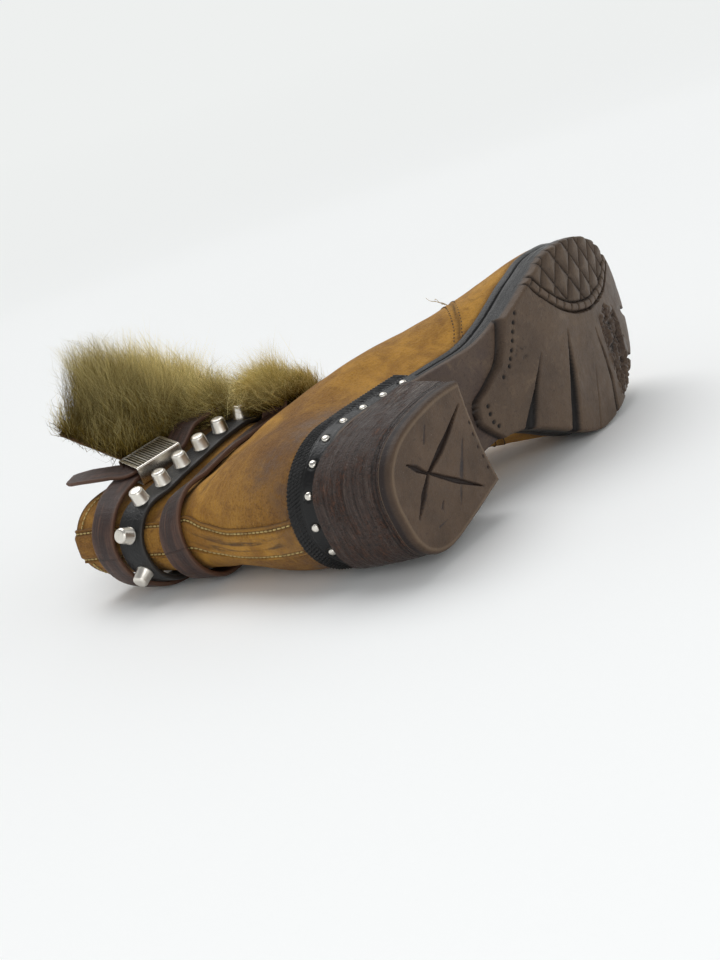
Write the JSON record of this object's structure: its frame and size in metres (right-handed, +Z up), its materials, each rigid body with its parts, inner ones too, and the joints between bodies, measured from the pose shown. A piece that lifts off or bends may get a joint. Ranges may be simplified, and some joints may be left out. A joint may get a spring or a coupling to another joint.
{
  "type": "fur boot",
  "caption": "Right ankle boot lying on its inner side: block heel, studded and buckled straps round the shaft, and long fur over its front.",
  "frame": {"origin": "on the floor, below the middle of the bounding box", "axes": "+Z up from the floor, +Y from the heel towards the toe, +X from the collar towards the sole; the boot lies on its inner side, outer side up"},
  "size_m": [0.239, 0.2802, 0.1238],
  "materials": {
    "strip_suede": "waxed nubuck, burnished",
    "buckle_steel": "ribbed",
    "olive_fur": "long hair",
    "black_rand": "satin",
    "stacked_leather": "polished edges of stacked lifts",
    "heel_rubber": "satin, worn",
    "insole_leather": "matt",
    "brown_strap": "satin",
    "outsole_rubber": "satin, worn",
    "tack_steel": "polished",
    "stud_steel": "polished",
    "black_strap": "satin",
    "tan_suede": "waxed nubuck, burnished",
    "black_welt": "polished edge",
    "zip_teeth": "teeth on a cloth tape"
  },
  "bodies": {
    "root": {"back_strip": "strip_suede", "buckle": "buckle_steel", "fur_panel": "olive_fur", "heel_rand": "black_rand", "heel_stack": "stacked_leather", "heel_top_piece": "heel_rubber", "insole": "insole_leather", "lower_strap": "brown_strap", "outsole": "outsole_rubber", "rand_tack_01": "tack_steel", "rand_tack_02": "tack_steel", "rand_tack_03": "tack_steel", "rand_tack_04": "tack_steel", "rand_tack_05": "tack_steel", "rand_tack_06": "tack_steel", "rand_tack_07": "tack_steel", "rand_tack_08": "tack_steel", "rand_tack_09": "tack_steel", "rand_tack_10": "tack_steel", "rand_tack_11": "tack_steel", "rand_tack_12": "tack_steel", "rand_tack_13": "tack_steel", "rand_tack_14": "tack_steel", "rand_tack_15": "tack_steel", "strap_tail": "brown_strap", "stud_01": "stud_steel", "stud_02": "stud_steel", "stud_03": "stud_steel", "stud_04": "stud_steel", "stud_05": "stud_steel", "stud_06": "stud_steel", "stud_07": "stud_steel", "stud_08": "stud_steel", "stud_strap": "black_strap", "upper": "tan_suede", "upper_strap": "brown_strap", "welt": "black_welt", "zip": "zip_teeth"}
  },
  "joints": []
}
